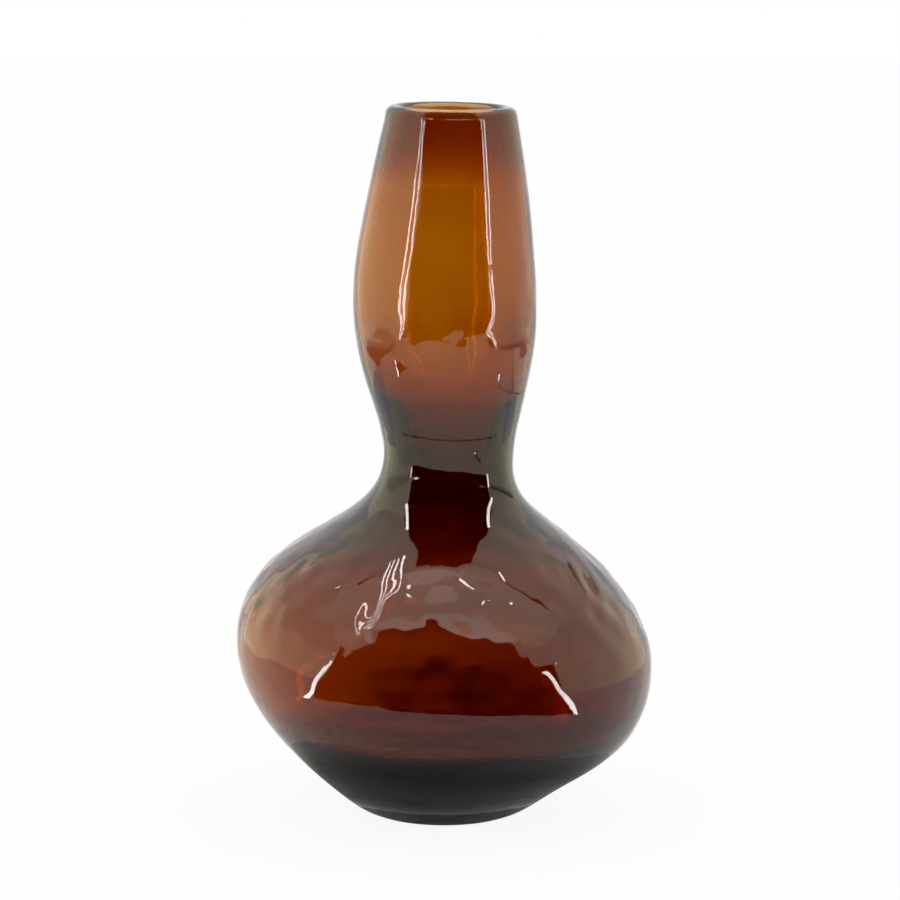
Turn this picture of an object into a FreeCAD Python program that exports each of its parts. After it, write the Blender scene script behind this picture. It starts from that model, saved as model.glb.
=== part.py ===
import FreeCAD, Part
import os
import Sketcher

# A gourd vase in blown glass, in millimetres, +Z up, with its front towards -Y.
# The origin is the centre of the ground face that the vase rests on.
# The vessel is blown from two gathers of glass, one laid over the other, and each is a body.
# Both follow one set of round sections, stacked from the foot to the lip and lofted.

# Seven stations set out the form. A rise is the height above the station below, a radius is the
# outer one, and a lean is how far the section's centre stands to the side of the foot's axis,
# because the form was shaped freehand. A wall is the whole wall there, through to the cavity.
# The cavity's offset is how far the lower bubble sits to the side within the outer form.
# The lip's tilt is in degrees, down to the right, and both its edges are fire-rounded.
SIZES = {
    "foot_radius": 34.4,
    "foot_wall": 33.0,
    "underbelly_rise": 36.0,
    "underbelly_radius": 84.3,
    "underbelly_lean": 5.4,
    "underbelly_wall": 10.2,
    "belly_rise": 44.0,
    "belly_radius": 102.3,
    "belly_lean": 0.2,
    "belly_wall": 8.3,
    "shoulder_rise": 44.0,
    "shoulder_radius": 81.7,
    "shoulder_lean": -5.0,
    "shoulder_wall": 7.8,
    "waist_rise": 55.5,
    "waist_radius": 31.9,
    "waist_lean": 2.4,
    "waist_wall": 12.5,
    "bulb_rise": 75.5,
    "bulb_radius": 44.9,
    "bulb_lean": 0.5,
    "bulb_wall": 4.6,
    "lip_rise": 95.0,
    "lip_radius": 31.0,
    "lip_lean": 3.9,
    "lip_wall": 9.0,
    "lip_tilt_angle": 1.0,
    "lip_rounding": 4.1,
    "mouth_rounding": 3.3,
    "cavity_offset": -2.8,
    "outer_gather_share": 0.5,
    "lip_rounding_limit_share": 0.94,
    "mouth_rounding_limit_share": 0.75,
}

STATIONS = ("foot", "underbelly", "belly", "shoulder", "waist", "bulb", "lip")

# The direction through the wall at each station, as shares of the wall: inwards and upwards.
# The last share is how much of the cavity's offset holds there.
THROUGH_SHARES = {
    "foot": (0.79, 1.0, 1.0),
    "underbelly": (0.74, 0.67, 1.0),
    "belly": (1.0, 0.0, 1.0),
    "shoulder": (0.70, -0.71, 0.4),
    "waist": (1.0, 0.0, 0.0),
    "bulb": (1.0, 0.0, 0.0),
    "lip": (1.0, 0.0, 0.0),
}

# The sections between one station and the next, named after the upper one. Each row holds the
# share of the way from the lower station to the upper one for the height, the radius, the lean
# and the wall, then the direction through the wall as for a station.
BETWEEN_SHARES = {
    "underbelly": (
        (0.03, 0.06, 0.00, 0.01, 0.71, 0.98),
        (0.08, 0.145, 0.00, 0.04, 0.61, 0.96),
        (0.17, 0.25, 0.02, 0.10, 0.48, 0.93),
        (0.28, 0.36, 0.09, 0.22, 0.33, 0.91),
        (0.42, 0.493, 0.23, 0.42, 0.21, 0.93),
        (0.60, 0.668, 0.53, 0.62, 0.20, 0.92),
        (0.80, 0.85, 0.86, 0.83, 0.40, 0.87),
    ),
    "belly": (
        (0.20, 0.376, 0.11, 0.89, 0.83, 0.55),
        (0.42, 0.675, 0.33, 1.10, 0.91, 0.42),
        (0.70, 0.912, 0.67, 1.15, 0.97, 0.23),
    ),
    "shoulder": (
        (0.25, 0.065, 0.31, 0.00, 0.97, -0.23),
        (0.50, 0.249, 0.62, 0.28, 0.91, -0.41),
        (0.75, 0.55, 0.87, 0.80, 0.83, -0.56),
    ),
    "waist": (
        (0.15, 0.191, 0.06, 0.01, 0.62, -0.78),
        (0.30, 0.417, 0.26, 0.16, 0.57, -0.82),
        (0.45, 0.658, 0.50, 0.51, 0.59, -0.81),
        (0.60, 0.849, 0.68, 0.95, 0.75, -0.66),
        (0.75, 0.955, 0.83, 1.14, 0.93, -0.38),
        (0.88, 0.993, 0.93, 1.15, 0.99, -0.13),
    ),
    "bulb": (
        (0.12, 0.072, -0.05, 0.25, 0.98, 0.18),
        (0.28, 0.298, 0.09, 0.54, 0.96, 0.27),
        (0.46, 0.587, 0.42, 0.79, 0.97, 0.25),
        (0.64, 0.821, 0.74, 0.91, 0.98, 0.18),
        (0.82, 0.957, 0.93, 0.96, 1.00, 0.08),
    ),
    "lip": (
        (0.14, 0.039, 0.00, -0.05, 1.00, -0.08),
        (0.30, 0.155, 0.11, -0.08, 0.99, -0.12),
        (0.48, 0.327, 0.38, -0.02, 0.99, -0.16),
        (0.66, 0.536, 0.59, 0.14, 0.98, -0.18),
        (0.76, 0.66, 0.70, 0.46, 0.98, -0.18),
        (0.85, 0.778, 0.81, 0.74, 0.98, -0.16),
        (0.93, 0.891, 0.92, 0.89, 0.99, -0.08),
    ),
}

# How deep in the wall each skin lies: the outside, the seam of the two gathers, and the cavity.
OUTSIDE_SHARE = "0"
SEAM_SHARE = "Sizes.outer_gather_share"
CAVITY_SHARE = "1"

CUBIC_MM_PER_CM3 = 1000

# The glass each gather has across the lip, and the roundings of the lip's two edges.
OUTER_LIP = "Sizes.lip_wall * Sizes.outer_gather_share"
INNER_LIP = "Sizes.lip_wall * (1 - Sizes.outer_gather_share)"
LIP_ROUNDING = f"min(Sizes.lip_rounding; {OUTER_LIP} * Sizes.lip_rounding_limit_share)"
MOUTH_ROUNDING = f"min(Sizes.mouth_rounding; {INNER_LIP} * Sizes.mouth_rounding_limit_share)"


def make_sheet(document):
    """Write the driving dimensions into the document's sheet."""
    sheet = document.addObject("Spreadsheet::Sheet", "Sizes")
    for row, (name, value) in enumerate(SIZES.items(), start=1):
        sheet.set(f"A{row}", name)
        sheet.set(f"B{row}", str(value))
        sheet.setAlias(f"B{row}", name)
    document.recompute()
    return sheet


def station_rows():
    """Give every section from the foot to the lip as expressions: height, radius, lean, wall,
    the shares of the wall that lead inwards and upwards, and the share of the offset."""
    height = "0"
    lean = "0"
    radius = "Sizes.foot_radius"
    wall = "Sizes.foot_wall"
    rows = [(height, radius, lean, wall, *THROUGH_SHARES["foot"])]
    for lower, name in zip(STATIONS, STATIONS[1:]):
        next_radius = f"Sizes.{name}_radius"
        next_lean = f"Sizes.{name}_lean"
        next_wall = f"Sizes.{name}_wall"
        aside = THROUGH_SHARES[lower][-1]
        next_aside = THROUGH_SHARES[name][-1]
        for rise, swell, shift, thicken, inward, upward in BETWEEN_SHARES[name]:
            rows.append((
                f"{height} + Sizes.{name}_rise * {rise}",
                f"{radius} + ({next_radius} - {radius}) * {swell}",
                f"{lean} + ({next_lean} - {lean}) * {shift}",
                f"{wall} + ({next_wall} - {wall}) * {thicken}",
                inward,
                upward,
                aside + (next_aside - aside) * rise,
            ))
        height = f"{height} + Sizes.{name}_rise"
        radius, lean, wall = next_radius, next_lean, next_wall
        rows.append((height, radius, lean, wall, *THROUGH_SHARES[name]))
    return rows


def horizontal_plane(body):
    """Find the body's own horizontal origin plane."""
    return next(part for part in body.Origin.OriginFeatures if part.Role == "XY_Plane")


def section_sketches(body, skin, depth_share):
    """Draw one skin of the vase as a stack of circles, from the foot to the lip."""
    sheet = body.Document.getObject("Sizes")
    sketches = []
    for number, (height, radius, lean, wall, inward, upward, aside) in enumerate(station_rows()):
        sketch = body.newObject("Sketcher::SketchObject", f"{body.Name}_{skin}_{number:02d}")
        sketch.AttachmentSupport = [(horizontal_plane(body), "")]
        sketch.MapMode = "FlatFace"
        centre = FreeCAD.Vector(0, 0, 0)
        up = FreeCAD.Vector(0, 0, 1)
        circle = sketch.addGeometry(Part.Circle(centre, up, sheet.foot_radius), False)
        sketch.addConstraint(Sketcher.Constraint("Coincident", circle, 3, -1, 1))
        size = sketch.addConstraint(Sketcher.Constraint("Radius", circle, sheet.foot_radius))
        sketch.setExpression(
            f"Constraints[{size}]", f"{radius} - ({wall}) * {inward} * {depth_share}"
        )
        sketch.setExpression(
            "AttachmentOffset.Base.x", f"{lean} + Sizes.cavity_offset * {aside:.3f} * {depth_share}"
        )
        sketch.setExpression(
            "AttachmentOffset.Base.z", f"{height} + ({wall}) * {upward} * {depth_share}"
        )
        sketches.append(sketch)
    tilt_lip(sketches[-1])
    return sketches


def tilt_lip(sketch):
    """Turn the top section about the front-to-back line through its centre."""
    sheet = sketch.Document.getObject("Sizes")
    front_to_back = FreeCAD.Vector(0, 1, 0)
    turn = FreeCAD.Rotation(front_to_back, sheet.lip_tilt_angle)
    sketch.AttachmentOffset = FreeCAD.Placement(sketch.AttachmentOffset.Base, turn)
    sketch.setExpression("AttachmentOffset.Rotation.Angle", "Sizes.lip_tilt_angle")


def loft(body, kind, skin, depth_share):
    """Loft one skin of the vase, as glass or as a hollow."""
    sketches = section_sketches(body, skin, depth_share)
    body.Document.recompute()
    feature = body.newObject(kind, f"{body.Name}_{skin}")
    feature.Profile = sketches[0]
    feature.Sections = sketches[1:]
    body.Document.recompute()
    return feature


def round_lip(body, choose, rounding):
    """Fire-round one edge of the lip's flat top: the widest or the narrowest."""
    hollow = body.Tip
    middle = hollow.Shape.BoundBox.Center.z
    rims = {
        f"Edge{number}": edge.BoundBox.XLength
        for number, edge in enumerate(hollow.Shape.Edges, start=1)
        if edge.isClosed() and edge.BoundBox.ZMin > middle
    }
    fillet = body.newObject("PartDesign::Fillet", f"{body.Name}_lip_rounding")
    fillet.Base = (hollow, [choose(rims, key=rims.get)])
    fillet.setExpression("Radius", rounding)
    body.Document.recompute()
    return fillet


def make_outer_gather(document):
    """The glass laid on last: the outer form, the outer half of the lip and the thick foot."""
    body = document.addObject("PartDesign::Body", "outer_gather")
    body.Label = "outer_gather"
    loft(body, "PartDesign::AdditiveLoft", "outside", OUTSIDE_SHARE)
    loft(body, "PartDesign::SubtractiveLoft", "seam", SEAM_SHARE)
    round_lip(body, max, LIP_ROUNDING)
    return body


def make_inner_gather(document):
    """The first bubble: the cavity with its floor, and the inner half of the lip."""
    body = document.addObject("PartDesign::Body", "inner_gather")
    body.Label = "inner_gather"
    loft(body, "PartDesign::AdditiveLoft", "seam", SEAM_SHARE)
    loft(body, "PartDesign::SubtractiveLoft", "cavity", CAVITY_SHARE)
    round_lip(body, min, MOUTH_ROUNDING)
    return body


def check(document, bodies):
    """Stop if any object has failed or any body has no sound solid."""
    for item in document.Objects:
        if "Invalid" in item.State or "Error" in item.State:
            raise RuntimeError(f"{item.Name} failed: {item.State}")
    for body in bodies:
        shape = body.Shape
        if shape.isNull() or not shape.isValid() or not shape.Solids:
            raise RuntimeError(f"{body.Label} has no sound solid")
        glass = shape.Volume / CUBIC_MM_PER_CM3
        print(f"{body.Label}: {len(shape.Solids)} solid, {glass:.1f} cm3")


def main():
    """Build the vase and write each body to its own file."""
    document = FreeCAD.newDocument("gourd_vase")
    make_sheet(document)
    bodies = [make_outer_gather(document), make_inner_gather(document)]
    document.recompute()
    check(document, bodies)
    os.makedirs("parts", exist_ok=True)
    for body in bodies:
        body.Shape.exportStep(f"parts/{body.Label}.step")


main()
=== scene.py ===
import logging
import math
from dataclasses import dataclass, field
from enum import Enum

import bpy
import numpy as np
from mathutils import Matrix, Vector
from mathutils.bvhtree import BVHTree


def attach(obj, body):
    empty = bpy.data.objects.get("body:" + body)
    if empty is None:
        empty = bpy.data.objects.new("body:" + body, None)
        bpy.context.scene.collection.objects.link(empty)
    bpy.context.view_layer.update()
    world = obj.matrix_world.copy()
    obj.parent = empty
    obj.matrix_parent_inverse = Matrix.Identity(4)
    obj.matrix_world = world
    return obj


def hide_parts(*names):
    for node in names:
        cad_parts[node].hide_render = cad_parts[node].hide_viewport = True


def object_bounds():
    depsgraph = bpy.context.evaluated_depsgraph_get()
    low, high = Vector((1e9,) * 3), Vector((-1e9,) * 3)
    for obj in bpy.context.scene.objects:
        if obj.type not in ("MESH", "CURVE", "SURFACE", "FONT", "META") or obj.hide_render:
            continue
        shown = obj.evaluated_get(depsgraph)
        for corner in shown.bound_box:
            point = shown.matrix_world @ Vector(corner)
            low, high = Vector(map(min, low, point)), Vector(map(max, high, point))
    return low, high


# A mouth-blown gourd vase in transparent amber glass, dressed for its studio view.
# Lengths are in metres, +Z is up, and the vase's front looks towards -Y.

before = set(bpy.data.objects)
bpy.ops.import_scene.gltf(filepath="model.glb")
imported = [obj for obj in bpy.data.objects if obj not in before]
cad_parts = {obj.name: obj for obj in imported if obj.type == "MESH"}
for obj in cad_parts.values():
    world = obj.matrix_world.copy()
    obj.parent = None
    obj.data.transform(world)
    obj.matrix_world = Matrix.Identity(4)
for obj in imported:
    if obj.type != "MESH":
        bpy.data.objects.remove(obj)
cad_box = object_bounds()

log = logging.getLogger("gourd_vase")


class Skin(Enum):
    """Which side of the wall a surface of the glass is, with the sign of its outward radius."""

    OUTSIDE = 1.0
    CAVITY = -1.0


def new_object(name: str, points: np.ndarray, faces: list[tuple[int, ...]]) -> bpy.types.Object:
    """Make a smooth-shaded mesh object and link it to the scene.

    Args:
        name: the object's name.
        points: one row of x, y and z for each vertex.
        faces: the vertices of each face.

    Returns:
        The new object, at the origin.
    """
    mesh = bpy.data.meshes.new(name)
    mesh.from_pydata(points.tolist(), [], faces)
    mesh.shade_smooth()
    mesh.update()
    made = bpy.data.objects.new(name, mesh)
    bpy.context.scene.collection.objects.link(made)
    return made


def grid_faces(rows: int, columns: int, closed: bool) -> list[tuple[int, ...]]:
    """List the four-sided faces of a grid whose points are stored row by row.

    Args:
        rows: how many rows of points there are.
        columns: how many points each row has.
        closed: True if each row closes on itself.

    Returns:
        The faces, all turned the same way.
    """
    across = columns if closed else columns - 1
    return [
        (
            row * columns + column,
            row * columns + (column + 1) % columns,
            (row + 1) * columns + (column + 1) % columns,
            (row + 1) * columns + column,
        )
        for row in range(rows - 1)
        for column in range(across)
    ]


def between(low: float, high: float, values: np.ndarray) -> np.ndarray:
    """Rise smoothly from 0 at low to 1 at high.

    Args:
        low: where the rise starts.
        high: where the rise ends.
        values: the values to place on the rise.

    Returns:
        One number from 0 to 1 for each value.
    """
    share = np.clip((values - low) / (high - low), 0, 1)
    return share * share * (3 - 2 * share)


@dataclass(frozen=True)
class Waviness:
    """The slight unevenness of a hand-blown surface, as a sum of seeded waves.

    Args:
        seed: starts the random draws.
        shortest: the shortest wavelength.
        longest: the longest wavelength.
        height: the typical height of the sum.
        bands: heights on the vase, and the share of the waves that holds at each.
        waves: how many waves are added.
    """

    seed: int
    shortest: float
    longest: float
    height: float
    bands: tuple[tuple[float, float], ...] = ((0, 1), (0.35, 1))
    waves: int = 48

    def offsets(self, points: np.ndarray) -> np.ndarray:
        """Give the height of the waves at each point.

        Args:
            points: one row of x, y and z for each point.

        Returns:
            One offset for each point.
        """
        draws = np.random.default_rng(self.seed)
        ways = draws.normal(size=(self.waves, 3))
        ways /= np.linalg.norm(ways, axis=1, keepdims=True)
        lengths = np.exp(draws.uniform(math.log(self.shortest), math.log(self.longest), self.waves))
        phases = draws.uniform(0, math.tau, self.waves)
        total = np.zeros(len(points))
        for way, length, phase in zip(ways, lengths, phases):
            total += length / self.longest * np.sin(points @ way * math.tau / length + phase)
        levels, shares = zip(*self.bands)
        share = np.interp(points[:, 2], levels, shares)
        return self.height * share * total / math.sqrt(self.waves / 2)


@dataclass(frozen=True)
class RoundSections:
    """Round level sections of the glass, from the lowest to the highest.

    Args:
        heights: the height of each section.
        radii: the radius of each section.
        leans: how far each section's centre stands to the side.
    """

    heights: np.ndarray
    radii: np.ndarray
    leans: np.ndarray

    @classmethod
    def read(cls, node: str, skin: Skin, heights: np.ndarray, reach: float) -> "RoundSections":
        """Read sections of one skin from a gather of the frame.

        Each section is the circle that fits the skin's vertices near its height best, where
        the centre and the radius may change with height.

        Args:
            node: the gather's name in the frame.
            skin: which skin of the gather is read.
            heights: where the sections are wanted.
            reach: how far above and below a height the vertices count.

        Returns:
            The sections.
        """
        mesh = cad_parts[node].data
        numbers = np.empty((2, len(mesh.vertices) * 3), np.float32)
        for row, part in zip(numbers, ("co", "normal")):
            mesh.vertices.foreach_get(part, row)
        points, normals = numbers.reshape(2, -1, 3).astype(float)
        outwards = (points[:, :2] * normals[:, :2]).sum(axis=1)
        outwards /= np.linalg.norm(points[:, :2], axis=1) + 1e-9
        least_outwards = 0.1
        points = points[outwards * skin.value > least_outwards]
        radii, leans = [], []
        for height in heights:
            rise = (points[:, 2] - height) / reach
            near = np.abs(rise) < 1
            x, y, rise = points[near, 0], points[near, 1], rise[near]
            weight = 1 - rise**2
            terms = np.stack([2 * x, 2 * x * rise, np.ones_like(x), rise, rise**2], axis=1)
            squares = x**2 + y**2
            found, *_ = np.linalg.lstsq(terms * weight[:, None], squares * weight, rcond=None)
            leans.append(found[0])
            radii.append(math.sqrt(max(found[2] + found[0] ** 2, 0)))
        return cls(heights, np.array(radii), np.array(leans))

    @classmethod
    def read_floor(
        cls, node: str, radii: np.ndarray, leans: tuple[float, float], drop: float,
    ) -> "RoundSections":
        """Read sections of a hollow's nearly level floor, where a radius tells more than a height.

        Args:
            node: the gather's name in the frame.
            radii: the radii of the sections wanted, from the smallest.
            leans: how far the first and the last section's centres stand to the side.
            drop: the height inside the hollow that the floor is looked for from.

        Returns:
            The sections.
        """
        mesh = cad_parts[node].data
        corners = [vertex.co for vertex in mesh.vertices]
        tree = BVHTree.FromPolygons(corners, [tuple(face.vertices) for face in mesh.polygons])
        sights = 24
        turns = np.arange(sights) * math.tau / sights
        centres = leans[0] + (leans[1] - leans[0]) * (radii / radii[-1]) ** 2
        heights = []
        for radius, centre in zip(radii, centres):
            starts = [
                Vector((centre + radius * math.cos(turn), radius * math.sin(turn), drop))
                for turn in turns
            ]
            heights.append(np.mean([tree.ray_cast(start, Vector((0, 0, -1)))[0].z for start in starts]))
        return cls(np.array(heights), radii, centres)

    def rows(self) -> np.ndarray:
        """Give the sections as the points of a line.

        Returns:
            One row of radius, height and lean for each section.
        """
        return np.stack([self.radii, self.heights, self.leans], axis=1)


@dataclass
class Meridian:
    """The line that the vessel's wall follows, from the foot's centre over the lip to the
    centre of the cavity's floor.

    Args:
        lip_height: how high the lip's round edge stands above its shoulders.
        softness: how far corners are rounded along the line.
        spacing: how far apart the rings are where the line is straight.
        tightness: how much closer the rings come together round a bend.
        closest: about how close two rings come round the sharpest bend.
        walk: how far apart the points are that the line is worked out on.
        lip_gap: how far the lip stays below the top of the solids' box.
        foot_edge: how high the foot's narrow rounded edge reaches.
        floor_lean: how far the centre of the cavity's floor stands to the side.
        floor_radii: the first and last radius at which the cavity's floor is read.
        wall_start: the height from which the cavity's wall is read.
        floor_drop: the height in the cavity that its floor is looked for from.
    """

    lip_height: float = 0.0043
    softness: float = 0.0009
    spacing: float = 0.0031
    tightness: float = 1.6
    closest: float = 0.0005
    walk: float = 0.0004
    lip_gap: float = 0.0004
    foot_edge: float = 0.012
    floor_lean: float = -0.0028
    floor_radii: tuple[float, float] = (0.002, 0.074)
    wall_start: float = 0.0450
    floor_drop: float = 0.060

    def build(self) -> tuple[np.ndarray, int]:
        """Read the line from the frame and set the rings out along it.

        Returns:
            One row of radius, height and lean for each ring, and the number of the lip's ring.
        """
        fine, coarse = 0.0005, 0.002
        floor_sections, lip_points = 25, 25
        shoulder = cad_box[1][2] - self.lip_gap - self.lip_height
        outside = RoundSections.read("outer_gather", Skin.OUTSIDE, np.concatenate([
            np.arange(0, self.foot_edge, fine), np.arange(self.foot_edge, shoulder, coarse), [shoulder],
        ]), reach=0.004)
        wall = RoundSections.read("inner_gather", Skin.CAVITY, np.concatenate([
            np.arange(self.wall_start, shoulder, coarse), [shoulder],
        ]), reach=0.003)
        floor = RoundSections.read_floor(
            "inner_gather", np.linspace(*self.floor_radii, floor_sections),
            (self.floor_lean, wall.leans[0]), drop=self.floor_drop,
        )
        middle = (outside.radii[-1] + wall.radii[-1]) / 2
        half = (outside.radii[-1] - wall.radii[-1]) / 2
        turns = np.linspace(0, math.pi, lip_points)[1:-1]
        lip = np.stack([
            middle + half * np.cos(turns),
            shoulder + self.lip_height * np.sin(turns),
            np.full_like(turns, outside.leans[-1]),
        ], axis=1)
        line = np.concatenate([
            [[0, 0, 0]], outside.rows(), lip, wall.rows()[::-1], floor.rows()[::-1],
            [[0, floor.heights[0], self.floor_lean]],
        ])
        return self.spaced(self.softened(line))

    def softened(self, line: np.ndarray) -> np.ndarray:
        """Walk the line in small even steps and round its corners.

        Args:
            line: one row of radius, height and lean for each point.

        Returns:
            The walked line, with both its ends on the axis.
        """
        walked = self.resampled(line, self.walk)
        reach = int(4 * self.softness / self.walk)
        spread = np.exp(-0.5 * (np.arange(-reach, reach + 1) * self.walk / self.softness) ** 2)
        spread /= spread.sum()
        mirror = np.array([-1, 1, 1])
        before = walked[reach:0:-1] * mirror
        after = walked[-2:-reach - 2:-1] * mirror
        padded = np.concatenate([before, walked, after])
        soft = np.stack([np.convolve(padded[:, k], spread, "valid") for k in range(3)], axis=1)
        soft[0, 0] = soft[-1, 0] = 0
        return soft

    @staticmethod
    def resampled(line: np.ndarray, step: float) -> np.ndarray:
        """Give points at even steps along a line.

        Args:
            line: one row of radius, height and lean for each point.
            step: how far apart the new points are.

        Returns:
            The new points, in the same form.
        """
        steps = np.linalg.norm(np.diff(line[:, :2], axis=0), axis=1)
        length = np.concatenate([[0], np.cumsum(steps)])
        places = np.linspace(0, length[-1], int(length[-1] / step) + 1)
        return np.stack([np.interp(places, length, line[:, k]) for k in range(3)], axis=1)

    def spaced(self, line: np.ndarray) -> tuple[np.ndarray, int]:
        """Choose the rings along a finely walked line, closer together round its bends.

        Args:
            line: one row of radius, height and lean for each point, evenly spaced.

        Returns:
            The rings, in the same form, and the number of the highest one.
        """
        ways = np.diff(line[:, :2], axis=0)
        steps = np.linalg.norm(ways, axis=1)
        bearings = np.unwrap(np.arctan2(ways[:, 1], ways[:, 0]))
        bend = np.abs(np.gradient(bearings)) / steps
        count = steps * (1 / self.spacing + np.minimum(bend * self.tightness, 1 / self.closest))
        total = np.concatenate([[0], np.cumsum(count)])
        places = np.linspace(0, total[-1], int(total[-1]) + 1)
        rings = np.stack([np.interp(places, total, line[:, k]) for k in range(3)], axis=1)
        return rings, int(np.argmax(rings[:, 1]))


@dataclass(frozen=True)
class AmberGlass:
    """Transparent amber-brown glass, tinted all through, with a fire-polished surface.

    Args:
        slot: the record's material slot.
        bends_light: its index of refraction.
        deepest: how much of blue light a metre of the glass takes, as a density.
        keeps: the share of red, green and blue that this density leaves alone.
        ripple_depth: how deep the fine ripples of the surface look.
        polished: the roughness of the fire-polished skin.
        ground: the roughness of the ground ring that the vase rests on.
    """

    slot: str = "amber_glass"
    bends_light: float = 1.5
    deepest: float = 900.0
    keeps: tuple[float, float, float] = (0.858, 0.689, 0.10)
    ripple_depth: float = 0.00005
    polished: float = 0.0
    ground: float = 0.45

    @staticmethod
    def ripples() -> bpy.types.NodeTree:
        """Make the effect of fine drawn-out ripples in blown glass.

        Returns:
            A node group that turns a depth into a surface normal.
        """
        group = bpy.data.node_groups.new("blown_ripples", "ShaderNodeTree")
        group.interface.new_socket("Depth", in_out="INPUT", socket_type="NodeSocketFloat")
        group.interface.new_socket("Normal", in_out="OUTPUT", socket_type="NodeSocketVector")
        nodes, links = group.nodes, group.links
        given = nodes.new("NodeGroupInput")
        result = nodes.new("NodeGroupOutput")
        place = nodes.new("ShaderNodeTexCoord")
        last = None
        lying, standing = (1, 1, 2.2), (1, 1, 0.35)
        for stretch, scale, detail in ((lying, 95, 2), (standing, 190, 1)):
            drawn = nodes.new("ShaderNodeMapping")
            drawn.inputs["Scale"].default_value = stretch
            noise = nodes.new("ShaderNodeTexNoise")
            noise.inputs["Scale"].default_value = scale
            noise.inputs["Detail"].default_value = detail
            noise.inputs["Roughness"].default_value = 0.4
            noise.inputs["Distortion"].default_value = 0.3
            bump = nodes.new("ShaderNodeBump")
            links.new(place.outputs["Object"], drawn.inputs["Vector"])
            links.new(drawn.outputs["Vector"], noise.inputs["Vector"])
            links.new(noise.outputs["Fac"], bump.inputs["Height"])
            links.new(given.outputs["Depth"], bump.inputs["Distance"])
            if last is not None:
                links.new(last.outputs["Normal"], bump.inputs["Normal"])
            last = bump
        links.new(last.outputs["Normal"], result.inputs["Normal"])
        return group

    @staticmethod
    def ground_foot() -> bpy.types.NodeTree:
        """Make the effect of a foot that is ground flat under a polished vessel.

        Returns:
            A node group that gives the roughness at each height.
        """
        group = bpy.data.node_groups.new("ground_foot", "ShaderNodeTree")
        for name in ("Polished", "Ground"):
            group.interface.new_socket(name, in_out="INPUT", socket_type="NodeSocketFloat")
        group.interface.new_socket("Roughness", in_out="OUTPUT", socket_type="NodeSocketFloat")
        nodes, links = group.nodes, group.links
        given = nodes.new("NodeGroupInput")
        result = nodes.new("NodeGroupOutput")
        place = nodes.new("ShaderNodeTexCoord")
        parts = nodes.new("ShaderNodeSeparateXYZ")
        rise = nodes.new("ShaderNodeMapRange")
        ground_height, polished_height = 0.0004, 0.0012
        rise.inputs["From Min"].default_value = ground_height
        rise.inputs["From Max"].default_value = polished_height
        links.new(place.outputs["Object"], parts.inputs["Vector"])
        links.new(parts.outputs["Z"], rise.inputs["Value"])
        links.new(given.outputs["Ground"], rise.inputs["To Min"])
        links.new(given.outputs["Polished"], rise.inputs["To Max"])
        links.new(rise.outputs["Result"], result.inputs["Roughness"])
        return group

    def material(self) -> bpy.types.Material:
        """Build the glass's material.

        Returns:
            The material.
        """
        material = bpy.data.materials.new(self.slot)
        material.use_nodes = True
        nodes, links = material.node_tree.nodes, material.node_tree.links
        nodes.clear()
        out = nodes.new("ShaderNodeOutputMaterial")
        glass = nodes.new("ShaderNodeBsdfPrincipled")
        glass.inputs["Base Color"].default_value = (1, 1, 1, 1)
        glass.inputs["IOR"].default_value = self.bends_light
        glass.inputs["Transmission Weight"].default_value = 1.0
        ripples = nodes.new("ShaderNodeGroup")
        ripples.node_tree = self.ripples()
        ripples.inputs["Depth"].default_value = self.ripple_depth
        ground = nodes.new("ShaderNodeGroup")
        ground.node_tree = self.ground_foot()
        ground.inputs["Polished"].default_value = self.polished
        ground.inputs["Ground"].default_value = self.ground
        links.new(ripples.outputs["Normal"], glass.inputs["Normal"])
        links.new(ground.outputs["Roughness"], glass.inputs["Roughness"])
        depth = nodes.new("ShaderNodeVolumeAbsorption")
        depth.inputs["Color"].default_value = (*self.keeps, 1)
        depth.inputs["Density"].default_value = self.deepest
        links.new(glass.outputs["BSDF"], out.inputs["Surface"])
        links.new(depth.outputs["Volume"], out.inputs["Volume"])
        return material


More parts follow.
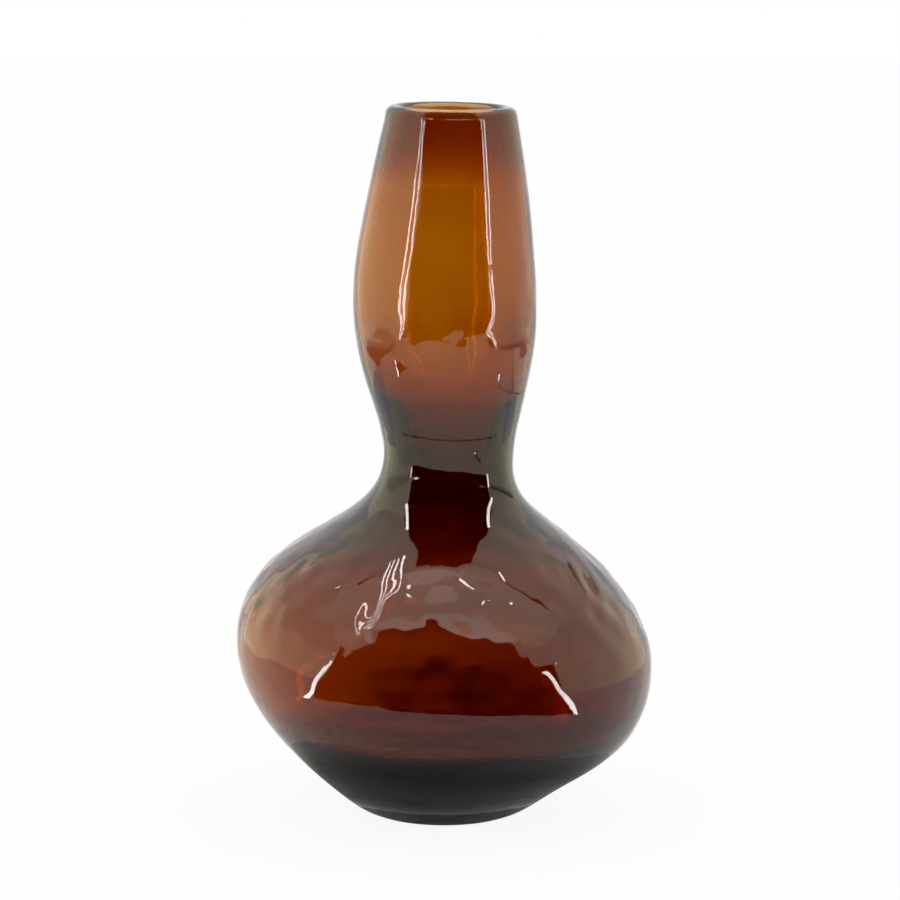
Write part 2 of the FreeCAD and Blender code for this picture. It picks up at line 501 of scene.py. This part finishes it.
@dataclass
class GlassVessel:
    """The one piece of blown glass: both gathers of the frame, fused.

    Args:
        columns: how many points go round each ring.
        allowance: how far the outer skin's waves are kept below the true form.
        foot_flat: the heights between which the outer skin's waves set in above the flat foot.
        lip_blend: how many rings on each side of the lip's the two skins' waves blend over.
        meridian: the line that the wall follows.
        lip_tilt: how many degrees the lip leans down to the right.
        tilt_depth: how far below the top the lip's tilt fades out.
        tilt_full: how far below the top the tilt is full.
        outside_waves: the unevenness of the outside.
        cavity_waves: the unevenness of the cavity, which no tool has touched.
        cavity_swell: rows of height, of how much wider the cavity is there from side to side and
            from front to back, as shares of its radius, and of how far it moves to the side.
        bubbles: the height, the bearing in degrees from the front and the radius of each small
            seed bubble in the wall.
        finish: the glass itself.
    """

    columns: int = 320
    allowance: float = 0.00006
    foot_flat: tuple[float, float] = (0.001, 0.012)
    lip_blend: int = 12
    lip_tilt: float = 1.0
    tilt_depth: float = 0.012
    tilt_full: float = 0.002
    outside_waves: tuple[Waviness, ...] = (
        Waviness(seed=11, shortest=0.016, longest=0.045, height=0.00004),
        Waviness(
            seed=37, shortest=0.009, longest=0.022, height=0.00028,
            bands=((0, 0.15), (0.075, 0.2), (0.088, 0.4), (0.100, 1), (0.108, 1.35), (0.125, 1.05),
                   (0.140, 0.5), (0.165, 0.2), (0.20, 0.06), (0.225, 0.20), (0.238, 0.85), (0.250, 0.55),
                   (0.265, 0.12), (0.275, 0.09), (0.35, 0.06)),
        ),
    )
    cavity_waves: tuple[Waviness, ...] = (
        Waviness(seed=23, shortest=0.020, longest=0.070, height=0.00015),
        Waviness(
            seed=41, shortest=0.009, longest=0.020, height=0.00009,
            bands=((0, 0), (0.050, 0.1), (0.065, 0.8), (0.115, 1), (0.150, 0.3), (0.20, 0.2),
                   (0.35, 0.15)),
        ),
    )
    meridian: Meridian = field(default_factory=Meridian)
    cavity_swell: tuple[tuple[float, float, float, float], ...] = (
        (0.033, 0, 0, 0), (0.038, 0.02, 0.02, 0), (0.044, 0.035, 0.03, 0), (0.052, 0.03, 0.02, 0),
        (0.060, 0.03, 0.002, 0), (0.067, 0.034, -0.017, 0), (0.076, 0.034, -0.026, 0),
        (0.086, 0.034, -0.028, 0), (0.096, 0.026, -0.018, 0), (0.106, 0.018, -0.003, 0),
        (0.125, 0.008, 0.006, 0), (0.145, -0.07, -0.09, 0), (0.165, -0.11, -0.13, 0),
        (0.185, -0.07, -0.09, 0), (0.210, 0, 0, 0), (0.230, 0, 0, -0.0007),
        (0.250, 0.01, 0, -0.0007), (0.310, 0.01, 0, -0.0007), (0.335, 0, 0, 0),
    )
    bubbles: tuple[tuple[float, float, float], ...] = (
        (0.0560, -1, 0.00055), (0.2710, -17, 0.00032), (0.2430, 22, 0.00036), (0.1010, -31, 0.00030),
        (0.0880, 38, 0.00034), (0.1270, 64, 0.00028), (0.0700, -66, 0.00036), (0.3050, 48, 0.00026),
        (0.0930, 118, 0.00034), (0.0640, 164, 0.00040), (0.1150, -142, 0.00030), (0.2580, 172, 0.00030),
    )
    finish: AmberGlass = field(default_factory=AmberGlass)

    def build(self) -> bpy.types.Object:
        """Make the vessel, in place of the frame's two gathers.

        Returns:
            The vessel, riding on the frame's body.
        """
        rings, lip = self.meridian.build()
        points = self.place(rings, lip)
        points = self.unevened(points, lip)
        wall = points[1:-1].reshape(-1, self.columns, 3)
        seeds, seed_faces = self.seed_bubbles(wall, lip, len(points))
        faces = self.faces(len(rings)) + seed_faces
        vessel = new_object("glass_vessel", np.concatenate([points, seeds]), faces)
        vessel.data.materials.append(self.finish.material())
        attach(vessel, "root")
        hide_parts("outer_gather", "inner_gather")
        log.info("glass_vessel: %d rings, %d points", len(rings), len(points))
        return vessel

    def place(self, rings: np.ndarray, lip: int) -> np.ndarray:
        """Set the rings out in space, with one point for each pole and the lip tilted.

        Args:
            rings: one row of radius, height and lean for each ring.
            lip: the number of the lip's ring.

        Returns:
            The points: the foot's centre, the rings in order, and the floor's centre.
        """
        turns = np.arange(self.columns) * math.tau / self.columns
        inner = rings[1:-1]
        levels, wider, deeper, aside = zip(*self.cavity_swell)
        hollow = (np.arange(len(inner)) > lip)[:, None]
        wide = np.interp(inner[:, 1:2], levels, wider) * hollow
        deep = np.interp(inner[:, 1:2], levels, deeper) * hollow
        across = inner[:, 0:1] * (1 + wide) * np.cos(turns)
        x = inner[:, 2:3] + across + np.interp(inner[:, 1:2], levels, aside) * hollow
        y = inner[:, 0:1] * (1 + deep) * np.sin(turns)
        top = rings[:, 1].max()
        share = between(top - self.tilt_depth, top - self.tilt_full, inner[:, 1:2])
        z = inner[:, 1:2] - across * math.tan(math.radians(self.lip_tilt)) * share
        body = np.stack([x, y, z], axis=2).reshape(-1, 3)
        foot = [[rings[0, 2], 0, rings[0, 1]]]
        floor = [[rings[-1, 2], 0, rings[-1, 1]]]
        return np.concatenate([foot, body, floor])

    def faces(self, rings: int) -> list[tuple[int, ...]]:
        """List the vessel's faces, all looking out of the glass.

        Args:
            rings: how many rings the meridian has, both poles counted.

        Returns:
            The faces.
        """
        wall = [
            tuple(corner + 1 for corner in face)
            for face in grid_faces(rings - 2, self.columns, closed=True)
        ]
        last = 1 + (rings - 2) * self.columns
        foot = [(0, 1 + (k + 1) % self.columns, 1 + k) for k in range(self.columns)]
        start = last - self.columns
        floor = [(last, start + k, start + (k + 1) % self.columns) for k in range(self.columns)]
        return foot + wall + floor

    def seed_bubbles(
        self, grid: np.ndarray, lip: int, first: int,
    ) -> tuple[np.ndarray, list[tuple[int, ...]]]:
        """Make the small bubbles of air that are caught in the middle of the wall.

        Args:
            grid: the points of the wall, ring by ring.
            lip: the number of the lip's ring.
            first: the number that the first new point gets.

        Returns:
            The bubbles' points, and their faces, all looking out of the glass.
        """
        rows, columns, pole = 7, 10, 0.02
        tilts = np.linspace(pole, math.pi - pole, rows)[:, None]
        turns = np.arange(columns) * math.tau / columns
        ball = np.stack([
            np.sin(tilts) * np.cos(turns),
            np.sin(tilts) * np.sin(turns),
            np.cos(tilts) * np.ones(columns),
        ], axis=2).reshape(-1, 3)
        sides = grid_faces(rows, columns, closed=True)
        ends = [tuple(range(columns))[::-1], tuple(range((rows - 1) * columns, rows * columns))]
        points, faces = [], []
        for height, bearing, radius in self.bubbles:
            column = round((bearing - 90) / 360 * self.columns) % self.columns
            outer = grid[:lip, column]
            inner = grid[lip:, column]
            outer = outer[np.argmin(np.abs(outer[:, 2] - height))]
            inner = inner[np.argmin(np.linalg.norm(inner - outer, axis=1))]
            points.append((outer + inner) / 2 + ball * radius)
            faces += [tuple(corner + first for corner in face) for face in sides + ends]
            first += len(ball)
        return np.concatenate(points), faces

    def unevened(self, points: np.ndarray, lip: int) -> np.ndarray:
        """Move the skins by their waviness, with the foot's face kept flat.

        Args:
            points: the vessel's points.
            lip: the number of the lip's ring.

        Returns:
            The moved points.
        """
        grid = points[1:-1].reshape(-1, self.columns, 3)
        around = np.roll(grid, -1, axis=1) - np.roll(grid, 1, axis=1)
        along = np.gradient(grid, axis=0)
        normals = np.cross(around, along)
        normals /= np.linalg.norm(normals, axis=2, keepdims=True)
        flat = grid.reshape(-1, 3)
        outside = sum(wave.offsets(flat) for wave in self.outside_waves).reshape(grid.shape[:2])
        cavity = sum(wave.offsets(flat) for wave in self.cavity_waves).reshape(grid.shape[:2])
        rows = np.arange(len(grid))[:, None]
        share = between(lip - self.lip_blend, lip + self.lip_blend, rows)
        offset = (outside - self.allowance) * (1 - share) + cavity * share
        offset *= np.where(rows < lip, between(*self.foot_flat, grid[..., 2]), 1)
        moved = grid + normals * offset[..., None]
        return np.concatenate([points[:1], moved.reshape(-1, 3), points[-1:]])


@dataclass(frozen=True)
class CardFinish:
    """A plain card of the studio that gives light of its own, or none: a painted reflection.

    Args:
        name: the material's name.
        colour: the light's colour.
        glow: how strong the light is, where 1 is white.
    """

    name: str
    colour: tuple[float, float, float]
    glow: float

    def material(self) -> bpy.types.Material:
        """Build the card's material.

        Returns:
            The material.
        """
        material = bpy.data.materials.new(self.name)
        material.use_nodes = True
        nodes, links = material.node_tree.nodes, material.node_tree.links
        nodes.clear()
        out = nodes.new("ShaderNodeOutputMaterial")
        light = nodes.new("ShaderNodeEmission")
        light.inputs["Color"].default_value = (*self.colour, 1)
        light.inputs["Strength"].default_value = self.glow
        links.new(light.outputs["Emission"], out.inputs["Surface"])
        return material


# Painted reflections: glowing finishes paint bright marks in the glass, black paints dark ones; no card
# lights anything.
BLACK = CardFinish("black_card", (0, 0, 0), 0)
WHITE = CardFinish("white_card", (1, 0.92, 0.74), 1.35)
BRIGHT = CardFinish("bright_card", (1, 0.94, 0.74), 1.80)
PALE = CardFinish("pale_card", (1, 0.95, 0.84), 2.5)
SIDE = CardFinish("side_card", (1, 0.93, 0.76), 1.25)
# Painted shade: the lobes' glow steps down from the far part to the tip.
LOBE_PAINTED_SHADES = tuple(
    CardFinish(f"lobe_{part}_card", (1, 0.92, 0.74), glow)
    for part, glow in (("far", 0.90), ("middle", 0.50), ("tip", 0.26))
)
# Painted light: an amber glow that only the glass sees, which brightens the lip and the mouth.
LIP_PAINTED_GLOW = CardFinish("lip_glow_card", (1, 0.82, 0.44), 5.0)
# Painted highlights: thin glowing strips that draw bright lines, dashes, a streak and glints in the
# glass.
PAINTED_HIGHLIGHT = CardFinish("highlight_strip", (1, 0.98, 0.95), 16)
# Painted reflections of soft boxes: glowing cards that only the glass sees.
PAINTED_SOFTBOX_LEFT = CardFinish("left_softbox_reflection", (1, 0.93, 0.70), 1.76)
PAINTED_SOFTBOX_RIGHT = CardFinish("right_softbox_reflection", (1, 0.93, 0.70), 1.42)
PAINTED_SOFTBOX_TOP = CardFinish("top_softbox_reflection", (1, 0.92, 0.74), 1.85)


@dataclass
class Card:
    """A painted reflection that shows in the glass alone: a patch of a ring about the vase, or of a
    level.

    Args:
        name: the card's name.
        finish: the card's finish.
        rows: for a ring, rows of height and of the left and right bearing in degrees, where 0
            is the front and the right is positive; for a level, rows of x and of the near and
            far distance in front of the axis.
        radius: the ring's radius, or nothing for a level.
        height: the level's height, or nothing for a ring.
        along: places of x and distance that a level strip follows, instead of rows.
        width: how wide such a strip is.
    """

    name: str
    finish: CardFinish
    rows: tuple[tuple[float, float, float], ...] = ()
    radius: float | None = None
    height: float | None = None
    along: tuple[tuple[float, float], ...] = ()
    width: float = 0.001

    def strip(self) -> np.ndarray:
        """Lay out a level strip of even width along its places.

        Returns:
            Rows of points, each with its x, y and z.
        """
        line = np.array(self.along, float)
        ways = np.gradient(line, axis=0)
        sides = np.stack([-ways[:, 1], ways[:, 0]], axis=1)
        sides *= self.width / 2 / np.linalg.norm(sides, axis=1, keepdims=True)
        edges = np.stack([line - sides, line + sides], axis=1)
        level = np.full(edges.shape[:2], self.height)
        return np.stack([edges[..., 0], -edges[..., 1], level], axis=2)

    def patch(self) -> np.ndarray:
        """Lay out a patch of a ring or of a level.

        Returns:
            Rows of points, each with its x, y and z.
        """
        rows, columns = 41, 25
        table = np.array(self.rows, float)
        fine = np.linspace(table[0, 0], table[-1, 0], rows)
        low = np.interp(fine, table[:, 0], table[:, 1])[:, None]
        high = np.interp(fine, table[:, 0], table[:, 2])[:, None]
        across = low + (high - low) * np.linspace(0, 1, columns)
        along = np.broadcast_to(fine[:, None], across.shape)
        if self.radius is not None:
            turn = np.radians(across)
            places = (self.radius * np.sin(turn), -self.radius * np.cos(turn), along)
        else:
            places = (along, -across, np.full(across.shape, self.height))
        return np.stack(places, axis=2)

    def build(self) -> bpy.types.Object:
        """Make the card, hidden from all but what the glass mirrors and what shows through it.

        A black card doesn't show through the glass either.

        Returns:
            The card.
        """
        places = self.strip() if self.along else self.patch()
        points = places.reshape(-1, 3)
        card = new_object(self.name, points, grid_faces(*places.shape[:2], closed=False))
        card.data.materials.append(self.finish.material())
        card.visible_camera = False
        card.visible_diffuse = False
        card.visible_volume_scatter = False
        card.visible_shadow = False
        card.visible_transmission = self.finish is not BLACK
        log.info("%s: %d points of %s", self.name, len(points), self.finish.name)
        return card


@dataclass
class Studio:
    """The pale floor, the white surroundings and the cards that the glass mirrors: painted reflections.

    Args:
        floor_half: half the floor's width.
        floor_gap: how far below the foot the floor lies.
        floor_own_light: the share of the floor's look that is its own white light.
        floor_colour: the colour that the vase's shadow falls on.
        shelf_level: the height of the dark shelf in front of the vase, a painted dark reflection.
        streak_level: the height of the strips that paint the streak and the glints.
        pale_level: the height of the pale cards, painted highlights.
        front_level: the height of the bright card under the shelf's top.
        wing_tube_level: the height of the short strips under the wings, painted highlights.
        top_level: the height of the shelf's top and of the wings.
        plate_levels: the heights of the plate's underside and top.
        lobe_levels: the heights of the lobes' undersides and tops.
        low_ring: the radii of the low black card and of its highlight strips.
        waist_ring: the radii of the waist's black cards and of their highlight strips.
        opening_ring: the radii of the front opening, its highlight strips and the lip's painted dashes.
        softbox_ring: the radius of the side cards that paint soft boxes' reflections.
    """

    floor_half: float = 6.0
    floor_gap: float = 0.0002
    floor_own_light: float = 0.92
    floor_colour: tuple[float, float, float] = (0.95, 0.93, 0.90)
    shelf_level: float = 0.163
    streak_level: float = 0.1635
    pale_level: float = 0.1638
    front_level: float = 0.164
    wing_tube_level: float = 0.1648
    top_level: float = 0.165
    plate_levels: tuple[float, float] = (0.1900, 0.1905)
    lobe_levels: tuple[float, float] = (0.2000, 0.2005)
    low_ring: tuple[float, float] = (0.220, 0.2195)
    waist_ring: tuple[float, float] = (0.112, 0.1115)
    opening_ring: tuple[float, float, float] = (0.300, 0.296, 0.295)
    softbox_ring: float = 0.60

    def build(self) -> None:
        """Make the studio round the vase."""
        self.world()
        self.floor()
        for card in self.cards():
            card.build()

    @staticmethod
    def world() -> bpy.types.World:
        """Make the surroundings white.

        Returns:
            The surroundings.
        """
        world = bpy.data.worlds.new("white_studio")
        bpy.context.scene.world = world
        world.use_nodes = True
        light = world.node_tree.nodes["Background"]
        light.inputs["Color"].default_value = (1, 1, 1, 1)
        log.info("white_studio: surroundings")
        return world

    def floor(self) -> bpy.types.Object:
        """Make the floor, white but for the vase's soft shadow.

        Returns:
            The floor.
        """
        half = self.floor_half
        points = np.array([(-half, -half, 0), (half, -half, 0), (half, half, 0), (-half, half, 0)])
        floor = new_object("floor", points, [(0, 1, 2, 3)])
        floor.location.z = -self.floor_gap
        floor.data.materials.append(self.floor_material())
        log.info("floor: %.0f m wide", 2 * half)
        return floor

    def floor_material(self) -> bpy.types.Material:
        """Build the floor's material: matt, with a light of its own that the camera alone sees.

        Returns:
            The material.
        """
        material = bpy.data.materials.new("pale_floor")
        material.use_nodes = True
        nodes, links = material.node_tree.nodes, material.node_tree.links
        nodes.clear()
        out = nodes.new("ShaderNodeOutputMaterial")
        matt = nodes.new("ShaderNodeBsdfDiffuse")
        matt.inputs["Color"].default_value = (*self.floor_colour, 1)
        light = nodes.new("ShaderNodeEmission")
        path = nodes.new("ShaderNodeLightPath")
        share = nodes.new("ShaderNodeMath")
        share.operation = "MULTIPLY"
        share.inputs[1].default_value = self.floor_own_light
        mix = nodes.new("ShaderNodeMixShader")
        links.new(path.outputs["Is Camera Ray"], share.inputs[0])
        links.new(share.outputs["Value"], mix.inputs["Fac"])
        links.new(matt.outputs["BSDF"], mix.inputs[1])
        links.new(light.outputs["Emission"], mix.inputs[2])
        links.new(mix.outputs["Shader"], out.inputs["Surface"])
        return material

    def cards(self) -> list[Card]:
        """List the cards that the glass mirrors: the painted reflections.

        Returns:
            The cards, not yet built.
        """
        return [
            *self.shelf(), *self.openings(), *self.plate(), *self.lobes(), *self.lip_and_wings(),
            *self.painted_softboxes(), *self.painted_highlight_lines(), *self.painted_streak_and_glints(), *self.painted_foot_shades(),
        ]

    def shelf(self) -> list[Card]:
        """List the low black card, the shelf on top of it and the shelf's pale cards: painted
        reflections.

        Returns:
            The cards.
        """
        # Painted reflections: the black cards paint dark bands, the glowing front and top bright bands,
        # the pale cards pale highlights.
        return [
            Card("low_black_card", BLACK, radius=self.low_ring[0], rows=(
                (-0.012, -69, 64), (0.027, -61, 55), (0.071, -54, 47), (0.116, -48, 43),
                (0.15, -45, 40), (0.163, -45, 40))),
            Card("shelf_underside", BLACK, height=self.shelf_level, rows=(
                (-0.206, 0.194, 0.215), (-0.106, 0.151, 0.262), (-0.059, 0.139, 0.262),
                (-0.028, 0.132, 0.262), (0, 0.128, 0.262), (0.029, 0.128, 0.262),
                (0.069, 0.139, 0.262), (0.123, 0.167, 0.262), (0.168, 0.187, 0.22))),
            Card("shelf_front", BRIGHT, height=self.front_level, rows=(
                (-0.15, 0.066, 0.139), (0, 0.066, 0.135), (0.15, 0.066, 0.139))),
            Card("shelf_top", WHITE, height=self.top_level, rows=(
                (-0.26, 0.06, 0.2), (-0.15, 0.06, 0.262), (-0.055, 0.064, 0.262),
                (0.055, 0.064, 0.262), (0.15, 0.06, 0.262), (0.26, 0.06, 0.2))),
            Card("pale_edge", PALE, height=self.pale_level, rows=(
                (-0.1, 0.128, 0.14), (-0.085, 0.112, 0.14), (-0.07, 0.122, 0.14),
                (-0.05, 0.116, 0.14), (-0.035, 0.109, 0.14), (-0.02, 0.121, 0.14),
                (-0.005, 0.118, 0.14), (0.01, 0.111, 0.14), (0.025, 0.122, 0.14),
                (0.04, 0.113, 0.14), (0.055, 0.107, 0.14), (0.07, 0.118, 0.14),
                (0.09, 0.124, 0.145), (0.11, 0.135, 0.15))),
            Card("pale_patch_high", PALE, height=self.pale_level, rows=(
                (-0.026, 0.068, 0.07), (-0.018, 0.067, 0.078), (-0.008, 0.067, 0.08),
                (0.002, 0.067, 0.074), (0.01, 0.067, 0.07), (0.018, 0.067, 0.069))),
            Card("pale_patch_low", PALE, height=self.pale_level, rows=(
                (-0.012, 0.084, 0.088), (-0.004, 0.08, 0.094), (0.006, 0.082, 0.092),
                (0.014, 0.086, 0.089))),
        ]

    def openings(self) -> list[Card]:
        """List the dark openings in front of the vase and above it: black cards, painted dark
        reflections.

        Returns:
            The cards.
        """
        return [
            Card("front_opening", BLACK, radius=self.opening_ring[0], rows=(
                (0.05, -50, 56), (0.2, -48, 56), (0.3, -42, 53), (0.37, -37, 52),
                (0.41, -41, 50), (0.45, -46, 47), (0.9, -60, 60))),
            Card("overhead_opening", BLACK, height=0.9, rows=(
                (-0.3, -0.06, 0.3), (0.3, -0.06, 0.3))),
        ]

    def plate(self) -> list[Card]:
        """List the black cards at the waist and the two sides of the plate before it: painted
        reflections.

        Returns:
            The cards.
        """
        rows = (
            (-0.075, 0.053, 0.08), (-0.062, 0.048, 0.0925), (-0.052, 0.0425, 0.099),
            (-0.043, 0.0385, 0.103), (-0.036, 0.032, 0.106), (-0.028, 0.024, 0.108),
            (-0.019, 0.03, 0.11), (-0.012, 0.0335, 0.111), (0, 0.0345, 0.111),
            (0.013, 0.033, 0.109), (0.021, 0.029, 0.108), (0.03, 0.024, 0.106),
            (0.04, 0.026, 0.104), (0.052, 0.0315, 0.098), (0.0583, 0.0327, 0.095),
            (0.0695, 0.0353, 0.087), (0.088, 0.0424, 0.07), (0.1, 0.046, 0.052),
        )
        underside, top = self.plate_levels
        ring = self.waist_ring[0]
        # Painted reflections: black cards and the plate's underside paint dark notches and a band, its
        # glowing top a bright band.
        return [
            Card("left_waist_card", BLACK, radius=ring, rows=((0.172, -58, -42), (0.1885, -57, -40))),
            Card("right_waist_card", BLACK, radius=ring, rows=((0.17, 46, 64), (0.1885, 46, 65))),
            Card("plate_underside", BLACK, height=underside, rows=rows),
            Card("plate_top", WHITE, height=top, rows=rows),
        ]

    def lobes(self) -> list[Card]:
        """List the lobes on each side of the vase, which get darker towards their tips: painted shade.

        Returns:
            The cards.
        """
        left = (
            (-0.2, -0.082, 0.11), (-0.165, -0.068, 0.1), (-0.135, -0.055, 0.08),
            (-0.118, -0.035, 0.06), (-0.105, -0.015, 0.035), (-0.097, -0.005, 0.018),
            (-0.092, 0, 0.008),
        )
        right = (
            (0.2, -0.15, 0.11), (0.165, -0.12, 0.085), (0.135, -0.085, 0.075),
            (0.118, -0.073, 0.057), (0.107, -0.056, 0.037), (0.088, -0.019, 0.021),
            (0.07, 0.001, 0.013), (0.06, 0.008, 0.01),
        )
        underside, top = self.lobe_levels
        cards = []
        # Painted reflections: glowing cards whose glow steps down towards the tips, a painted shade.
        for side, rows in (("left", left), ("right", right)):
            cards.append(Card(f"{side}_lobe_underside", SIDE, height=underside, rows=rows))
            parts = (("far", rows[:2]), ("middle", rows[1:3]), ("tip", rows[2:]))
            for finish, (part, some) in zip(LOBE_PAINTED_SHADES, parts):
                cards.append(Card(f"{side}_lobe_{part}", finish, height=top, rows=some))
        return cards

    def lip_and_wings(self) -> list[Card]:
        """List the amber glowing card that paints light in the lip, and the white wings beside the
        shelf's gap.

        Returns:
            The cards.
        """
        # Painted light: none of these cards lights anything; the wings paint bright reflections.
        return [
            Card("lip_glow_card", LIP_PAINTED_GLOW, height=0.42, rows=((-0.05, -0.07, 0.02), (0.055, -0.07, 0.02))),
            Card("left_wing", WHITE, height=self.top_level, rows=(
                (-0.26, 0, 0.06), (-0.06, 0, 0.06), (-0.045, 0.014, 0.064),
                (-0.027, 0.034, 0.064), (-0.022, 0.0405, 0.064), (-0.0204, 0.047, 0.064),
                (-0.016, 0.053, 0.064))),
            Card("right_wing", WHITE, height=self.top_level, rows=(
                (0.0205, 0.053, 0.064), (0.0264, 0.045, 0.064), (0.0282, 0.037, 0.064),
                (0.033, 0.029, 0.064), (0.045, 0.014, 0.064), (0.07, 0, 0.06),
                (0.26, 0, 0.06))),
        ]

    def painted_softboxes(self) -> list[Card]:
        """List the glowing cards at the sides and above that paint soft boxes' reflections.

        Returns:
            The cards.
        """
        # Painted reflections: these cards light nothing.
        ring = self.softbox_ring
        return [
            Card("left_softbox_reflection", PAINTED_SOFTBOX_LEFT, radius=ring, rows=((0, -140, -40), (0.9, -140, -40))),
            Card("right_softbox_reflection", PAINTED_SOFTBOX_RIGHT, radius=ring, rows=((0, 45, 140), (0.9, 45, 140))),
            Card("top_softbox_reflection", PAINTED_SOFTBOX_TOP, height=0.92, rows=((-0.6, -0.5, 0.9), (0.6, -0.5, 0.9))),
        ]

    def painted_highlight_lines(self) -> list[Card]:
        """List the thin glowing strips that paint the thin bright lines: painted highlights.

        Returns:
            The cards.
        """
        _, tall, dash = self.opening_ring
        low, waist = self.low_ring[1], self.waist_ring[1]
        # Painted highlights: strips that only the glass sees, the lip's three dashes among them.
        rings = (
            ("left_tube_outer", tall, (
                (0.16, -52, -51), (0.24, -55.5, -53.5), (0.33, -50.5, -48.3), (0.37, -48.6, -47),
                (0.41, -48, -46.6), (0.45, -52, -51))),
            ("left_tube_inner", tall, (
                (0.16, -50.2, -49.4), (0.24, -51.8, -50), (0.33, -43, -41), (0.41, -43.6, -42.2),
                (0.45, -49, -48))),
            ("right_tube_outer", tall, ((0.16, 59, 60), (0.24, 58.4, 60), (0.281, 57.3, 59))),
            ("right_tube_outer_above", tall, (
                (0.291, 57.2, 58.9), (0.33, 56.2, 58), (0.41, 55.2, 57), (0.45, 54, 56))),
            ("right_tube_inner", tall, ((0.16, 57, 57.8), (0.24, 56, 57.4), (0.281, 54, 55.4))),
            ("right_tube_inner_above", tall, (
                (0.291, 53.8, 55.2), (0.33, 52, 53.4), (0.41, 50, 51.4), (0.45, 47, 49))),
            ("lip_dash_left", dash, ((0.45, -42, -23), (0.456, -42, -23))),
            ("lip_dash_middle", dash, ((0.45, -14, 10), (0.456, -14, 10))),
            ("lip_dash_right", dash, ((0.4435, 17, 36), (0.4495, 17, 36))),
            ("left_low_tube", low, (
                (-0.012, -73, -70), (0.027, -65, -62), (0.071, -58, -55), (0.116, -51, -49))),
            ("right_low_tube", low, (
                (-0.012, 63, 66), (0.027, 55, 59), (0.071, 48, 51), (0.116, 44, 46))),
            ("left_waist_tube", waist, ((0.176, -60, -57.5), (0.189, -59, -57))),
            ("right_waist_tube", waist, ((0.168, 64, 66), (0.189, 66, 68))),
        )
        levels = (
            ("left_wing_tube", ((-0.0232, 0.033, 0.041), (-0.0214, 0.033, 0.042))),
            ("right_wing_tube", ((0.0276, 0.028, 0.037), (0.0294, 0.028, 0.037))),
        )
        return [
            *(Card(name, PAINTED_HIGHLIGHT, radius=radius, rows=rows) for name, radius, rows in rings),
            *(Card(name, PAINTED_HIGHLIGHT, height=self.wing_tube_level, rows=rows) for name, rows in levels),
        ]

    def painted_streak_and_glints(self) -> list[Card]:
        """List the thin glowing lines that paint the left shoulder's streak and single glints.

        Returns:
            The cards.
        """
        # Painted highlights: the streak and the glints are glowing strips and patches that only the
        # glass sees.
        streak = [
            Card(f"painted_streak_line_{number}", PAINTED_HIGHLIGHT, height=self.streak_level, width=0.0011, along=(
                (-0.028 + side * 0.8, 0.055), (-0.034 + side * 0.8, 0.067), (-0.0395 + side, 0.079),
                (-0.051 + side * 1.2, 0.091), (-0.068 + side * 1.6, 0.107),
                (-0.086 + side * 1.7, 0.121), (-0.103 + side * 1.7, 0.133)))
            for number, side in enumerate((-0.0075, -0.003, 0.0018, 0.0062))
        ]
        glints = [
            Card(f"glint_{number}", PAINTED_HIGHLIGHT, height=self.streak_level, rows=(
                (x - half, s - half, s + half / 2), (x + half, s - half / 2, s + half)))
            for number, (x, s, half) in enumerate((
                (-0.022, 0.088, 0.003), (-0.02, 0.079, 0.0022), (0.018, 0.073, 0.003),
                (0.044, 0.062, 0.0018), (0.036, 0.094, 0.003), (0.046, 0.09, 0.002),
                (0.06, 0.085, 0.0022),
            ))
        ]
        return streak + glints

    @staticmethod
    def painted_foot_shades() -> list[Card]:
        """List the nested half rings on the floor that dim what the underside mirrors: painted shade.

        Returns:
            The cards, from the widest and brightest to the narrowest and darkest.
        """
        lowest, rise = 0.001, 0.00015
        wave_depth, waves, wave_turn = 0.03, 55, 0.5
        tip, corner = 0.98, 1.001
        shades = []
        for number, (inner, outer, glow) in enumerate((
            (0.047, 0.106, 0.47), (0.0475, 0.102, 0.43), (0.048, 0.098, 0.39),
            (0.0485, 0.0945, 0.34), (0.049, 0.091, 0.29), (0.05, 0.0875, 0.25),
            (0.051, 0.083, 0.21), (0.053, 0.077, 0.17),
        )):
            sides = np.concatenate([
                np.linspace(-outer * tip, -inner * corner, 9),
                np.linspace(-inner, inner, 15),
                np.linspace(inner * corner, outer * tip, 9),
            ])
            wave = 1 + wave_depth * np.sin(waves * sides + wave_turn * number)
            far = np.sqrt(outer**2 - sides**2) * wave
            hole = np.sqrt(np.maximum(inner**2 - sides**2, 0))
            near = np.where(np.abs(sides) > inner, -far, hole)
            # Painted shade: each ring's dim glow darkens the floor seen in the underside.
            finish = CardFinish(f"foot_shade_{number}", (1, 0.97, 0.92), glow)
            shades.append(Card(
                f"foot_shade_{number}", finish, height=lowest + rise * number,
                rows=tuple(zip(sides.tolist(), near.tolist(), far.tolist())),
            ))
        return shades


@dataclass
class StudioCamera:
    """The camera at the photograph's viewing angle.

    Args:
        place: where the camera stands.
        target: the point it looks at.
        lens: its focal length in millimetres, on a film 36 mm wide.
    """

    place: tuple[float, float, float] = (0.0030, -1.900, 0.490)
    target: tuple[float, float, float] = (0.0030, 0.0, 0.18093)
    lens: float = 156.684

    def build(self) -> bpy.types.Object:
        """Make the camera and give it to the scene.

        Returns:
            The camera.
        """
        data = bpy.data.cameras.new("studio_camera")
        data.lens = self.lens
        data.sensor_width = 36
        camera = bpy.data.objects.new("studio_camera", data)
        bpy.context.scene.collection.objects.link(camera)
        camera.location = self.place
        sight = Vector(self.target) - Vector(self.place)
        camera.rotation_euler = sight.to_track_quat("-Z", "Y").to_euler()
        bpy.context.scene.camera = camera
        log.info("studio_camera: %.1f mm lens", self.lens)
        return camera


def main() -> None:
    """Build the camera, the studio and the vase, in that order."""
    bpy.context.scene.view_settings.view_transform = "Standard"
    StudioCamera().build()
    Studio().build()
    GlassVessel().build()


if __name__ == "__main__":
    logging.basicConfig(level=logging.INFO, format="%(message)s")
    main()
